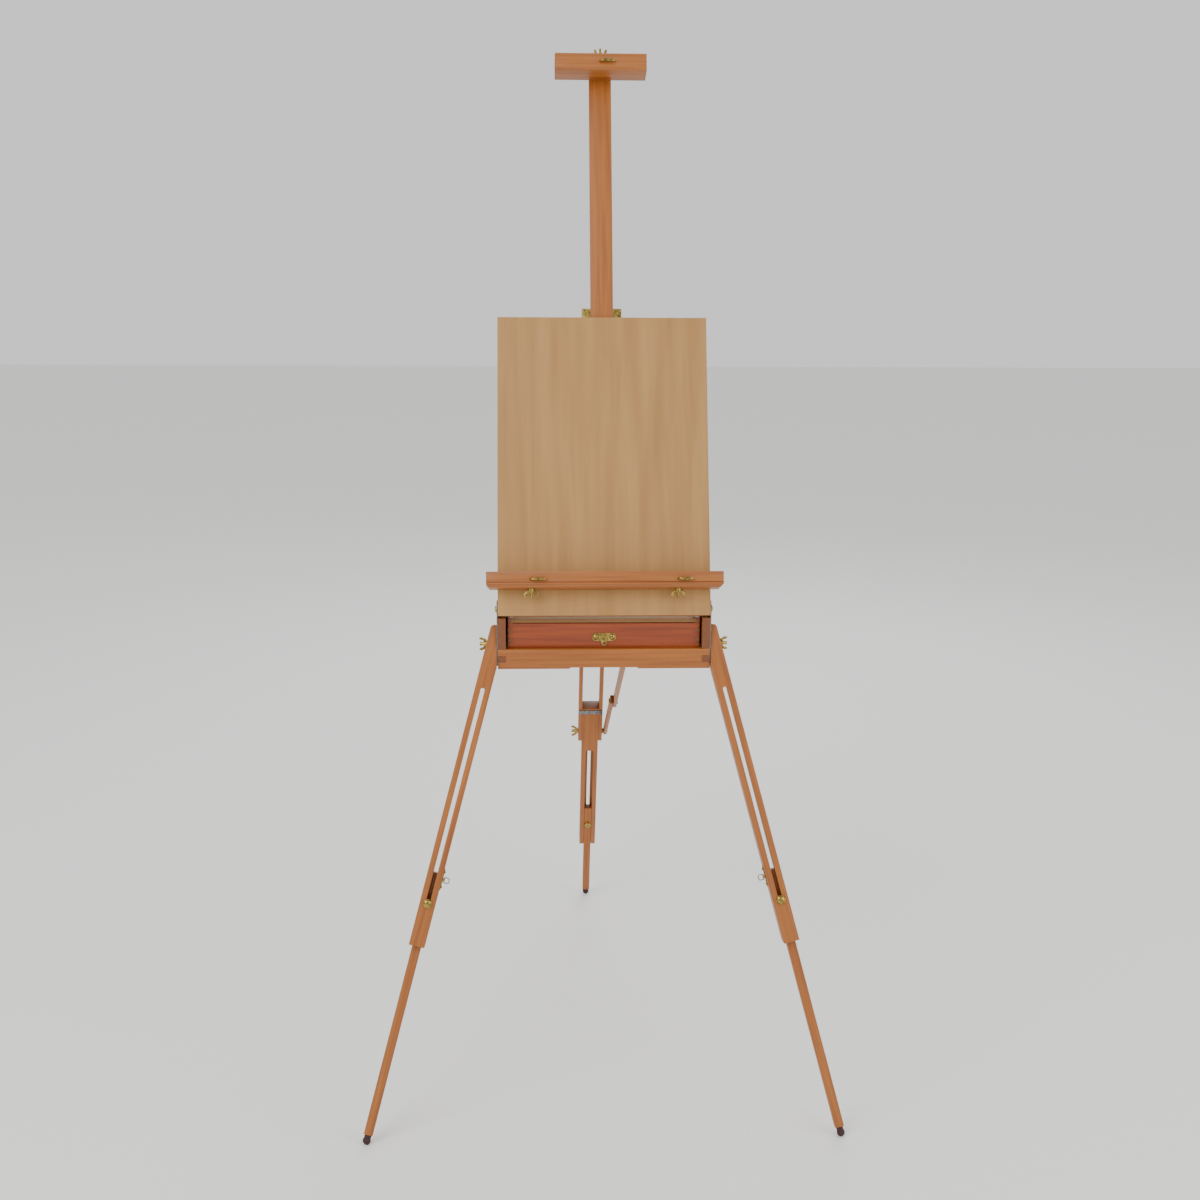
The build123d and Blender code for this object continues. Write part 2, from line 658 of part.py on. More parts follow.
leg_reach = reach_to_floor(leg_frame, channel_middle)
extension("right_lower_leg", leg_frame, channel_middle, leg_extension_top, leg_knob_station, leg_reach)
ball_foot("right_foot", leg_frame, channel_middle, leg_reach)
knob_plane = clamp_bolt("right_leg_clamp_bolt", leg_frame, leg_depth, leg_knob_station, -1, nut_grip)
leg_nut_plane = knob_plane.offset(-leg_depth - 0.2).rotated((180, 0, 0))
wing_nut("right_leg_wing_nut", leg_nut_plane, bolt_radius + run_gap)

with BuildPart() as pivot_bolt:
    rod_along(pivot_hole, bolt_radius, inner_half + 0.2 - seat_x, spot_x + nut_grip)
    rod_along(pivot_hole, 6.5, inner_half + 0.2 - seat_x, inner_half + 2.3 - seat_x)
with BuildPart() as side_fasteners:
    add([pivot_screws.part, stay_screws.part, pivot_bolt.part])
keep_pair(side_fasteners, "side_fasteners")
nut_seat_place = pivot_hole.offset(spot_x + 0.2).origin
pivot_nut_plane = Plane(origin=nut_seat_place, x_dir=(0, 0, 1), z_dir=(1, 0, 0))
wing_nut("right_pivot_wing_nut", pivot_nut_plane, bolt_radius + run_gap)

# A small catch on the leg's inner face: a screwed plate and a wire loop that hooks the folded leg.
catch_half = 17.0
catch_thick = 1.4
lug_height = 3.2
loop_axis_height = 2.8
loop_wire = 1.4
loop_size = 9.8
catch_origin = leg_frame.from_local_coords((-leg_width / 2, 4.0, -leg_catch_station))
catch_plane = Plane(origin=catch_origin, x_dir=leg_frame.z_dir, z_dir=-leg_frame.x_dir)
loop_origin = catch_plane.offset(loop_axis_height)
with BuildPart() as catch_plate:
    with BuildSketch(catch_plane):
        RectangleRounded(2 * catch_half, 8.0, 2.0)
    extrude(amount=catch_thick)
    for station in (-12.0, 12.0):
        dome(catch_plane.location * Location((station, 0, catch_thick)), 2.4, 1.6)
    with Locations(catch_plane.offset(catch_thick + lug_height / 2).location):
        Box(5.0, 5.0, lug_height)
    loop_bore = Plane(origin=loop_origin.origin, x_dir=catch_plane.z_dir, z_dir=catch_plane.x_dir)
    rod_along(loop_bore, 1.1, -3.0, 3.0, Mode.SUBTRACT)
keep(catch_plate, "right_leg_catch_plate")

with BuildPart() as catch_loop:
    with BuildSketch(Plane(origin=loop_origin.origin, x_dir=catch_plane.x_dir, z_dir=catch_plane.y_dir)):
        with Locations((0, -(loop_size - loop_wire) / 2)):
            RectangleRounded(loop_size, loop_size, 3.0)
            RectangleRounded(loop_size - 2 * loop_wire, loop_size - 2 * loop_wire, 1.6, mode=Mode.SUBTRACT)
    extrude(amount=loop_wire / 2, both=True)
keep(catch_loop, "right_leg_catch_loop")

for stem in ("lower_leg", "foot", "leg_clamp_bolt", "leg_wing_nut", "pivot_wing_nut",
             "leg_catch_plate", "leg_catch_loop"):
    with BuildPart() as twin:
        add(pieces[f"right_{stem}"])
        mirror(about=Plane.YZ, mode=Mode.REPLACE)
    keep(twin, f"left_{stem}")


# ================= the rear leg =================
rear_fall = fork_z - foot_radius
rear_tilt = atan2(rear_foot_y - fork_hinge_y, rear_fall)
rear_up = (0, -sin(rear_tilt), cos(rear_tilt))
# Stations run down the leg: from the hinge in the fork's frame, from the cross bolt in the leg's own.
fork_frame = Plane(origin=(0, fork_hinge_y, fork_z), x_dir=(1, 0, 0), z_dir=rear_up)
rear_frame = fork_frame.offset(-fork_length)
cross_point = rear_frame.origin
block_half = 12.0
bracket_half = 11.0
bracket_drop = 8.0
bracket_width = 12.0
block_drop = 10.0
rail_inside = rear_width / 2 + wood_gap
rail_outside = rail_inside + fork_rail_thick
anchor_z = fork_z
link_gap = 0.3
lower_link_x = rail_outside + 3.7
upper_link_x = lower_link_x + brace_thick + link_gap
board_under = floor_top - panel_thick
anchor = Vector(0, brace_anchor_y, anchor_z)

with BuildPart() as hinge_block:
    block_low = (-rear_width / 2, fork_hinge_y - block_half, fork_z - block_drop)
    box_between(block_low, (rear_width / 2, fork_hinge_y + block_half, board_under))
    hinge_axis = Plane(origin=fork_frame.origin, x_dir=(0, 1, 0), z_dir=(1, 0, 0))
    rod_along(hinge_axis, bolt_radius + run_gap, -rail_inside, rail_inside, Mode.SUBTRACT)
with BuildPart() as brace_bracket:
    bracket_outer = upper_link_x - link_gap
    bracket_low = (bracket_outer - bracket_width, brace_anchor_y - bracket_half, anchor_z - bracket_drop)
    box_between(bracket_low, (bracket_outer, brace_anchor_y + bracket_half, board_under))
    anchor_axis = Plane(origin=anchor, x_dir=(0, 1, 0), z_dir=(1, 0, 0))
    rod_along(anchor_axis, bolt_radius + run_gap, 0, upper_link_x, Mode.SUBTRACT)
with BuildPart() as leg_blocks:
    add([hinge_block.part, brace_bracket.part])
keep(leg_blocks, "rear_leg_blocks")

cross_axis = Plane(origin=cross_point, x_dir=(0, 1, 0), z_dir=(1, 0, 0))
with BuildPart() as fork_rail:
    rail_low = (rail_inside, -fork_depth / 2, -fork_length - fork_tail)
    frame_block(fork_frame, rail_low, (rail_outside, fork_depth / 2, 0))
    rod_along(hinge_axis, fork_depth / 2, rail_inside, rail_outside)
    rod_along(hinge_axis, bolt_radius, rail_inside, rail_outside, Mode.SUBTRACT)
    rod_along(cross_axis, bolt_radius, rail_inside, rail_outside, Mode.SUBTRACT)
keep_pair(fork_rail, "fork_rails")

bolt_head_thick = 3.2
with BuildPart() as fork_bolts:
    left_ends = (-rail_outside - bolt_head_thick, -rail_outside - nut_grip)
    for axis, left_end in zip((hinge_axis, cross_axis), left_ends):
        rod_along(axis, bolt_radius, left_end, rail_outside)
        rod_along(axis, 6.0, rail_outside, rail_outside + bolt_head_thick)
    rod_along(hinge_axis, 6.0, -rail_outside - bolt_head_thick, -rail_outside)
keep(fork_bolts, "fork_bolts")
nut_place = cross_point - Vector(rail_outside + 0.2, 0, 0)
cross_nut_plane = Plane(origin=nut_place, x_dir=(0, 0, 1), z_dir=(-1, 0, 0))
wing_nut("cross_wing_nut", cross_nut_plane, bolt_radius + run_gap)

with BuildPart() as rear_upper:
    slot_end = rear_length - rear_slot_foot
    slotted_leg(rear_frame, rear_width, rear_depth, rear_head, rear_length, rear_slot_start, slot_end, -1)
    rod_along(cross_axis, bolt_radius + run_gap, -rail_inside, rail_inside, Mode.SUBTRACT)
keep(rear_upper, "rear_upper_leg")

strap_up = rear_head - 3.0
stop_thick = 1.6
with BuildPart() as stop_strap:
    front = -rear_depth / 2
    stop_low = (-rail_outside, front - stop_thick, strap_up - 9.0)
    frame_block(rear_frame, stop_low, (rail_outside, front, strap_up))
    screw = frame_axis(rear_frame, 0, front - stop_thick, strap_up - 4.5, "y")
    rod_along(screw, 2.8, -1.0, 0)
keep(stop_strap, "rear_stop_strap")

rear_channel = -rear_depth / 2 + channel_depth / 2
rear_reach = reach_to_floor(rear_frame, rear_channel)
extension("rear_lower_leg", rear_frame, rear_channel, rear_extension_top, rear_knob_station, rear_reach)
ball_foot("rear_foot", rear_frame, rear_channel, rear_reach)
rear_knob = clamp_bolt("rear_leg_clamp_bolt", rear_frame, rear_depth, rear_knob_station, -1, nut_grip)
rear_nut_plane = rear_knob.offset(-rear_depth - 0.2).rotated((180, 0, 0))
wing_nut("rear_leg_wing_nut", rear_nut_plane, bolt_radius + run_gap)

# The brace: two links, straight when the leg is out and folded back on each other when it is stowed.
span = (cross_point - anchor).length
folded_span = fork_hinge_y - fork_length - brace_anchor_y
upper_link = (span + folded_span) / 2
lower_link = (span - folded_span) / 2
brace_way = (cross_point - anchor).normalized()
elbow = anchor + brace_way * upper_link


def brace_link(x, start, length, hole_start, hole_end, elbow_place):
    """A flat link from start along the brace, in the plane at x, with a square tail past the elbow."""
    plane = Plane(origin=start + Vector(x, 0, 0), x_dir=brace_way, z_dir=(1, 0, 0))
    with BuildSketch(plane) as outline:
        with Locations((length / 2, 0)):
            SlotCenterToCenter(length, brace_width)
        with Locations((elbow_place, 0)):
            Rectangle(2 * brace_tail, brace_width)
        for place, radius in ((0, hole_start), (length, hole_end)):
            if radius:
                with Locations((place, 0)):
                    Circle(radius, mode=Mode.SUBTRACT)
    extrude(outline.sketch, amount=brace_thick)


with BuildPart() as brace_upper:
    brace_link(upper_link_x, anchor, upper_link, bolt_radius, bolt_radius, upper_link)
keep(brace_upper, "brace_upper_link")
with BuildPart() as brace_lower:
    brace_link(lower_link_x, elbow, lower_link, bolt_radius + run_gap, 0, 0)
keep(brace_lower, "brace_lower_link")

rivet_head = 2.0
with BuildPart() as brace_rivets:
    outer_x = upper_link_x + brace_thick
    elbow_axis = Plane(origin=elbow, x_dir=(0, 1, 0), z_dir=(1, 0, 0))
    for axis, low_x in ((anchor_axis, upper_link_x - 10.0), (elbow_axis, lower_link_x - 0.2)):
        rod_along(axis, bolt_radius, low_x, outer_x)
        rod_along(axis, 5.5, outer_x, outer_x + rivet_head)
    rod_along(elbow_axis, 5.5, lower_link_x - link_gap - rivet_head, lower_link_x - 0.2)
keep(brace_rivets, "brace_rivets")

# ================= export =================
boxes = [piece.bounding_box() for piece in pieces.values()]
middle_x = (min(b.min.X for b in boxes) + max(b.max.X for b in boxes)) / 2
middle_y = (min(b.min.Y for b in boxes) + max(b.max.Y for b in boxes)) / 2
floor_z = min(b.min.Z for b in boxes)
origin = Vector(middle_x, middle_y, floor_z)


def publish(label, value):
    """Print a point, a direction or a number in the exported frame, for the record."""
    print("VALUE", label, value)


def point(vector):
    """A working-frame point as exported, in metres."""
    moved = Vector(vector) - origin
    return [round(c / 1000, 6) for c in tuple(moved)]


def way(vector):
    """A unit direction with six decimals."""
    return [round(c, 6) for c in tuple(Vector(vector).normalized())]


publish("lid_hinge", point((0, hinge_y, hinge_z)))
publish("lid_range", -round(lid_open, 3))
publish("leg_pivot", point((half_box, leg_pivot_y, leg_pivot_z)))
publish("leg_fold", round(90 + leg_lean, 3))
publish("leg_down", way([-c for c in leg_up]))
publish("leg_back", way(leg_frame.y_dir))
publish("leg_out", way(leg_frame.x_dir))
publish("leg_knob", point(knob_plane.origin))
publish("catch_loop", point(loop_origin.origin))
publish("fork_hinge", point(fork_frame.origin))
publish("fork_fold", -round(90 + degrees(rear_tilt), 3))
publish("cross_bolt", point(cross_point))
publish("rear_down", way([-c for c in rear_up]))
publish("rear_back", way(rear_frame.y_dir))
publish("rear_knob", point(rear_knob.origin))
publish("brace_anchor", point(anchor))
publish("brace_elbow", point(elbow))
publish("brace_rise", round(-degrees(atan2(brace_way.Z, brace_way.Y)), 3))
publish("lid_up", way(lid_frame.y_dir))
publish("lid_out", way(lid_frame.z_dir))
publish("tray_hook", point(lid_frame.from_local_coords((tray_hook_x, hook_up, 0))))
publish("tray_stud", point(lid_frame.from_local_coords((tray_hook_x, tray_base, tray_depth / 2))))
publish("head_hook", point(lid_frame.from_local_coords((0, head_hook_up, 0))))
publish("head_stud", point(head_stud_plane.origin))
publish("mast_screw", point(clamp_plane.origin))
publish("latch", point((0, front_y, latch_z)))
publish("shift_mm", [round(c, 3) for c in tuple(origin)])
publish("tray_top", point(lid_frame.from_local_coords((0, tray_base + tray_height, tray_depth / 2))))
bay_middle = (lid_half / 2 + 8, box_depth / 2, -(lid_depth + lid_panel_thick) / 2)
publish("lid_bay", point(lid_frame.from_local_coords(bay_middle)))
publish("drawer_inside", [point((-inside_half, front_y + drawer_wall, drawer_floor + 5)),
                          point((inside_half, drawer_end_y - drawer_wall, groove_low))])
publish("thumb_hole", point((reach - 70.0, front_y + 75.0, palette_low)))

os.makedirs("parts", exist_ok=True)
for name, piece in pieces.items():
    placed = piece.moved(Location(-origin))
    placed.label = name
    export_step(placed, f"parts/{name}.step")
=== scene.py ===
import json
import math
import bmesh
import bpy
from mathutils import Matrix, Vector


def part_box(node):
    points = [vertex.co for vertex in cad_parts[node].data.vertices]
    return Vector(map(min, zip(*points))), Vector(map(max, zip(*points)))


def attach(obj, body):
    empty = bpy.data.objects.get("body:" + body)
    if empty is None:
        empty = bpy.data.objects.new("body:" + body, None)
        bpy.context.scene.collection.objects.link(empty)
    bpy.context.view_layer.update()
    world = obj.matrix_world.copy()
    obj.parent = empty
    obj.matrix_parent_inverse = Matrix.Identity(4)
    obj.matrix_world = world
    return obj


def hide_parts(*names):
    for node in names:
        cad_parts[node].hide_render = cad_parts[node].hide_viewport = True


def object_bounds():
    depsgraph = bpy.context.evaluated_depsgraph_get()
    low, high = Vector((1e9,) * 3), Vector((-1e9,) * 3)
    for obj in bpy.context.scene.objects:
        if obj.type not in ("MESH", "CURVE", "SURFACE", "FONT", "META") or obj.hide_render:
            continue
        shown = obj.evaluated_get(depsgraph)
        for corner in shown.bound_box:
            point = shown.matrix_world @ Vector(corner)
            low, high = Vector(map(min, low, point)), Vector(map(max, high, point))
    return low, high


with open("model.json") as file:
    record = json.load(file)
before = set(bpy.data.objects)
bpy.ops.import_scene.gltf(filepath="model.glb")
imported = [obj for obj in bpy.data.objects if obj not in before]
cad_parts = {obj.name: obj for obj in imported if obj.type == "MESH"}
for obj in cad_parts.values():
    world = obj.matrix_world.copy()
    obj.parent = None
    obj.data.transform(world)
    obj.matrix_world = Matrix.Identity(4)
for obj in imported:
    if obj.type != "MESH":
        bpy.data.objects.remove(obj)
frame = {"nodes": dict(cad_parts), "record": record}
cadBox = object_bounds()
mm = 0.001
joints = {joint["name"]: joint for joint in frame["record"]["behaviour"]["joints"]}
bodyOf = {node: body for body, nodes in frame["record"]["behaviour"]["bodies"].items() for node in nodes}
slotOf = {row["node"]: row["material_slot"] for row in frame["record"]["subparts"]}
print("frame loaded:", len(frame["nodes"]), "nodes")


def linear(hexColour):
    channels = [int(hexColour[i:i + 2], 16) / 255 for i in (1, 3, 5)]
    return [c / 12.92 if c <= 0.04045 else ((c + 0.055) / 1.055) ** 2.4 for c in channels] + [1.0]


# Adds one node: settings go on the node or its input sockets, links bring other nodes' outputs in.
def addNode(tree, kind, settings=None, links=None):
    node = tree.nodes.new(kind)
    for key, value in (settings or {}).items():
        if isinstance(key, int) or key in node.inputs.keys():
            node.inputs[key].default_value = value
        else:
            setattr(node, key, value)
    for socket, output in (links or {}).items():
        tree.links.new(output, node.inputs[socket])
    return node


def startMaterial(name):
    material = bpy.data.materials.new(name)
    material.use_nodes = True
    tree = material.node_tree
    return material, tree, tree.nodes["Principled BSDF"]


def ramp(tree, factor, stops):
    node = addNode(tree, "ShaderNodeValToRGB", links={"Fac": factor})
    for index, (place, colour) in enumerate(stops):
        element = node.color_ramp.elements[index] if index < 2 else node.color_ramp.elements.new(place)
        element.position = place
        element.color = linear(colour)
    return node.outputs["Color"]


# ---- wood ----
# Steamed beech, planed and wiped with satin varnish: warm, close grained, with short dark ray flecks.
# End grain drinks more varnish, so it is darker. Flecks are 0.4 mm wide, drawn a little coarse to show.
beechFinish = {"pale": "#AA6523", "mid": "#9B581B", "dark": "#864813", "endGrain": "#5E3014",
               "grainWidth": 5.0, "grainLength": 160.0, "fleckWidth": 0.7, "fleckLength": 6.0,
               "fleck": "#6E3C18", "fleckStrength": 0.3, "roughness": (0.42, 0.58), "relief": 0.12,
               "coat": 0.12, "figureSpread": (0.25, 0.75), "fleckEdge": (0.62, 0.72)}
# The drawer front is beech painted darker and redder than the rest, as painted shade for its recess under the
# lid and palette, with the same satin varnish on top.
drawerShadeFinish = dict(beechFinish, pale="#99430F", mid="#89380A", dark="#722B07", endGrain="#4A1D0A",
                     fleck="#54220D")
# Birch plywood, rotary cut: pale, with broad soft figure and hardly any flecks.
plywoodFinish = dict(beechFinish, pale="#B28750", mid="#A97D47", dark="#9F733E", endGrain="#6E4A26",
                     grainWidth=18.0, grainLength=260.0, fleckStrength=0.12, relief=0.06,
                     roughness=(0.6, 0.75), coat=0.0)


# A face counts as end grain where its normal lies this close to the grain. "To Max" is how much of the
# end grain colour it then takes.
endGrainMask = {"From Min": 0.75, "From Max": 0.97, "To Max": 0.75}
# A face counts as a plywood edge where its normal lies this far from the panel's.
plyEdgeMask = {"From Min": 0.5, "From Max": 0.3}
plyGlueLine = (0.45, 0.55)
figureDetail, fleckDetail, grainWander = 5.0, 2.0, 0.3
fleckRelief, coatRoughness = 0.3, 0.3


def woodMaterial(name, finish, grain, plyNormal=None, plyThick=1.3):
    material, tree, shader = startMaterial(name)
    grain = Vector(grain).normalized()
    side = grain.orthogonal().normalized()
    turn = Matrix((grain, side, grain.cross(side))).to_euler("XYZ")
    place = addNode(tree, "ShaderNodeTexCoord")
    along = addNode(tree, "ShaderNodeMapping", {"Rotation": turn}, {"Vector": place.outputs["Object"]})
    patterns = []
    for width, length, detail in ((finish["grainWidth"], finish["grainLength"], figureDetail),
                                  (finish["fleckWidth"], finish["fleckLength"], fleckDetail)):
        size = (1 / (length * mm), 1 / (width * mm), 1 / (width * mm))
        stretched = addNode(tree, "ShaderNodeMapping", {"Scale": size}, {"Vector": along.outputs[0]})
        patterns.append(addNode(tree, "ShaderNodeTexNoise", {"Scale": 1.0, "Detail": detail,
                                                                  "Distortion": grainWander},
                                {"Vector": stretched.outputs[0]}).outputs["Fac"])
    figure, flecks = patterns
    darkest, palest = finish["figureSpread"]
    colour = ramp(tree, figure, ((darkest, finish["dark"]), (palest, finish["pale"]),
                                 ((darkest + palest) / 2, finish["mid"])))
    fleckStart, fleckFull = finish["fleckEdge"]
    fleckMask = addNode(tree, "ShaderNodeMapRange", {"From Min": fleckStart, "From Max": fleckFull,
                                                     "To Max": finish["fleckStrength"]}, {"Value": flecks})
    colour = addNode(tree, "ShaderNodeMix", {"data_type": "RGBA", 7: linear(finish["fleck"])},
                     {0: fleckMask.outputs[0], 6: colour}).outputs[2]
    facing = addNode(tree, "ShaderNodeVectorMath", {"operation": "DOT_PRODUCT", 1: grain},
                     {0: place.outputs["Normal"]})
    endOn = addNode(tree, "ShaderNodeMath", {"operation": "ABSOLUTE"}, {0: facing.outputs["Value"]})
    endMask = addNode(tree, "ShaderNodeMapRange", endGrainMask, {"Value": endOn.outputs[0]})
    colour = addNode(tree, "ShaderNodeMix", {"data_type": "RGBA", 7: linear(finish["endGrain"])},
                     {0: endMask.outputs[0], 6: colour}).outputs[2]
    if plyNormal:
        depth = addNode(tree, "ShaderNodeVectorMath", {"operation": "DOT_PRODUCT", 1: plyNormal},
                        {0: place.outputs["Object"]})
        layers = addNode(tree, "ShaderNodeMath", {"operation": "PINGPONG", 1: plyThick * mm},
                         {0: depth.outputs["Value"]})
        lineStart, lineEnd = (share * plyThick * mm for share in plyGlueLine)
        stripe = addNode(tree, "ShaderNodeMapRange", {"From Min": lineStart, "From Max": lineEnd},
                         {"Value": layers.outputs[0]})
        flat = addNode(tree, "ShaderNodeVectorMath", {"operation": "DOT_PRODUCT", 1: plyNormal},
                       {0: place.outputs["Normal"]})
        flatness = addNode(tree, "ShaderNodeMath", {"operation": "ABSOLUTE"}, {0: flat.outputs["Value"]})
        edge = addNode(tree, "ShaderNodeMapRange", plyEdgeMask, {"Value": flatness.outputs[0]})
        both = addNode(tree, "ShaderNodeMath", {"operation": "MULTIPLY"},
                       {0: stripe.outputs[0], 1: edge.outputs[0]})
        colour = addNode(tree, "ShaderNodeMix", {"data_type": "RGBA", 7: linear(finish["endGrain"])},
                         {0: both.outputs[0], 6: colour}).outputs[2]
    tree.links.new(colour, shader.inputs["Base Color"])
    low, high = finish["roughness"]
    gloss = addNode(tree, "ShaderNodeMapRange", {"To Min": low, "To Max": high}, {"Value": figure})
    tree.links.new(gloss.outputs[0], shader.inputs["Roughness"])
    relief = addNode(tree, "ShaderNodeBump", {"Strength": finish["relief"], "Distance": fleckRelief * mm},
                     {"Height": flecks})
    tree.links.new(relief.outputs[0], shader.inputs["Normal"])
    shader.inputs["Coat Weight"].default_value = finish["coat"]
    shader.inputs["Coat Roughness"].default_value = coatRoughness
    return material


# ---- metal and rubber ----
# Turned and stamped brass under thin lacquer: bright, with duller brown patches where hands touch it.
brassFinish = {"bright": "#B99B52", "dull": "#6E5F33", "patch": 4.0,
               "roughness": (0.16, 0.34), "metallic": 1.0}
# Zinc-plated mild steel: grey, evenly satin, faintly mottled by the plating.
steelFinish = {"bright": "#8C8E90", "dull": "#5E6062", "patch": 3.0,
               "roughness": (0.3, 0.5), "metallic": 1.0}
# Moulded dark maroon rubber: matt, with a fine skin.
rubberFinish = {"bright": "#3A1415", "dull": "#260C0D", "patch": 2.0,
                "roughness": (0.55, 0.75), "metallic": 0.0}


patchDetail, patchRelief, patchDepth = 6.0, 0.08, 0.1
patchSpread = (0.35, 0.6)


def patchyMaterial(name, finish):
    material, tree, shader = startMaterial(name)
    place = addNode(tree, "ShaderNodeTexCoord")
    patches = addNode(tree, "ShaderNodeTexNoise",
                      {"Scale": 1 / (finish["patch"] * mm), "Detail": patchDetail},
                      {"Vector": place.outputs["Object"]})
    colour = ramp(tree, patches.outputs["Fac"], zip(patchSpread, (finish["dull"], finish["bright"])))
    tree.links.new(colour, shader.inputs["Base Color"])
    low, high = finish["roughness"]
    gloss = addNode(tree, "ShaderNodeMapRange", {"To Min": high, "To Max": low},
                    {"Value": patches.outputs["Fac"]})
    tree.links.new(gloss.outputs[0], shader.inputs["Roughness"])
    relief = addNode(tree, "ShaderNodeBump", {"Strength": patchRelief, "Distance": patchDepth * mm},
                     {"Height": patches.outputs["Fac"]})
    tree.links.new(relief.outputs[0], shader.inputs["Normal"])
    shader.inputs["Metallic"].default_value = finish["metallic"]
    return material


brass = patchyMaterial("lacqueredBrass", brassFinish)
metals = {"brass": brass, "steel": patchyMaterial("zincPlatedSteel", steelFinish),
          "dark_rubber": patchyMaterial("maroonRubber", rubberFinish)}

# Which way the grain runs in each wooden piece.
lidOut = Vector(joints["mast_screw_turn"]["axis"])
braceWay = Vector(joints["brace_lower_swing"]["pos_m"]) - Vector(joints["brace_upper_swing"]["pos_m"])
grainWay = {"across": Vector((1, 0, 0)), "back": Vector((0, 1, 0)), "brace": braceWay,
            "lidUp": Vector(joints["mast_slide"]["axis"]),
            "rearLeg": Vector(joints["rear_leg_extend"]["axis"]),
            "leftLeg": Vector(joints["left_leg_extend"]["axis"]),
            "rightLeg": Vector(joints["right_leg_extend"]["axis"])}
grainOf = {"across": ["front_rail", "back_board", "drawer_front", "canvas_tray", "head_block",
                      "lid_cross_rails"],
           "back": ["box_sides", "bottom_board", "drawer_walls", "drawer_bottom", "drawer_dividers",
                    "palette", "rear_leg_blocks"],
           "lidUp": ["lid_side_rails", "lid_panel", "mast_guides", "mast"],
           "rearLeg": ["fork_rails", "rear_upper_leg", "rear_lower_leg"],
           "brace": ["brace_upper_link", "brace_lower_link"],
           "leftLeg": ["left_upper_leg", "left_lower_leg"],
           "rightLeg": ["right_upper_leg", "right_lower_leg"]}
# The red_beech slot takes the darker drawer-front colours, which are painted shade.
woodFinish = {"beech": beechFinish, "red_beech": drawerShadeFinish, "plywood": plywoodFinish}
woods = {}
materialOf = {node: metals[slot] for node, slot in slotOf.items() if slot in metals}
for way, nodes in grainOf.items():
    for node in nodes:
        key = (slotOf[node], way, node == "lid_panel")
        if key not in woods:
            plyNormal = lidOut if node == "lid_panel" else None
            woods[key] = woodMaterial(f"{slotOf[node]}_{way}" + ("_ply" if plyNormal else ""),
                                      woodFinish[slotOf[node]], grainWay[way], plyNormal)
        materialOf[node] = woods[key]
print("materials made:", len(woods) + len(metals), "without one:", sorted(set(slotOf) - set(materialOf)))

# ---- softened edges ----
# Sanded wood and tumbled metal have no knife edges, so each piece gets a narrow round on its corners.
softening = {"beech": 0.7, "red_beech": 0.6, "plywood": 0.4, "brass": 0.25, "steel": 0.25, "dark_rubber": 0.3}
bevelAngle = math.radians(35)
sharpAngle = math.radians(38)
flatAngle = math.radians(0.5)
volumeSlack = 0.06
weldGap, sliverGap = 0.005, 0.001


def roundEdges(bm, edges, width):
    bmesh.ops.bevel(bm, geom=edges, offset=width * mm, offset_type="OFFSET", segments=2, profile=0.5,
                    affect="EDGES", clamp_overlap=True)


def addPiece(name, bm):
    mesh = bpy.data.meshes.new(name)
    bm.to_mesh(mesh)
    bm.free()
    piece = bpy.data.objects.new(name, mesh)
    bpy.context.collection.objects.link(piece)
    return piece


def smoothPiece(piece):
    piece.data.shade_smooth()
    piece.data.set_sharp_from_angle(angle=sharpAngle)


def soften(node, width):
    source = frame["nodes"][node]
    bm = bmesh.new()
    bm.from_mesh(source.data)
    bmesh.ops.remove_doubles(bm, verts=bm.verts, dist=weldGap * mm)
    volumeBefore = abs(bm.calc_volume())
    bmesh.ops.dissolve_limit(bm, angle_limit=flatAngle, verts=bm.verts, edges=bm.edges)
    corners = [e for e in bm.edges if len(e.link_faces) == 2 and e.calc_face_angle(0) > bevelAngle]
    roundEdges(bm, corners, width)
    bmesh.ops.triangulate(bm, faces=[f for f in bm.faces if len(f.verts) > 4])
    bmesh.ops.dissolve_degenerate(bm, dist=sliverGap * mm, edges=bm.edges)
    volumeAfter = abs(bm.calc_volume())
    torn = sum(1 for e in bm.edges if len(e.link_faces) != 2)
    if torn or abs(volumeAfter - volumeBefore) > volumeSlack * volumeBefore:
        bm.free()
        return None
    piece = addPiece(node + "Softened", bm)
    smoothPiece(piece)
    return piece


kept = []
stamped = ("latch_plate", "latch_tongue")  # made below, from sheet
for node, material in materialOf.items():
    if node in stamped:
        continue
    piece = soften(node, softening[slotOf[node]])
    if piece is None:
        kept.append(node)
        shown = frame["nodes"][node]
        shown.data.materials.clear()
        shown.data.materials.append(material)
        continue
    piece.data.materials.append(material)
    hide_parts(node)
    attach(piece, bodyOf[node])
print("edges softened:", len(materialOf) - len(kept) - len(stamped), "left as they are:", kept)


# ---- turned heads and screws ----
def cutAway(piece, tool):
    cutter = addPiece("cut", tool)
    modifier = piece.modifiers.new("cut", "BOOLEAN")
    modifier.object = cutter
    modifier.operation = "DIFFERENCE"
    bpy.context.view_layer.update()
    piece.data = bpy.data.meshes.new_from_object(piece.evaluated_get(bpy.context.evaluated_depsgraph_get()))
    piece.modifiers.clear()
    bpy.data.objects.remove(cutter)


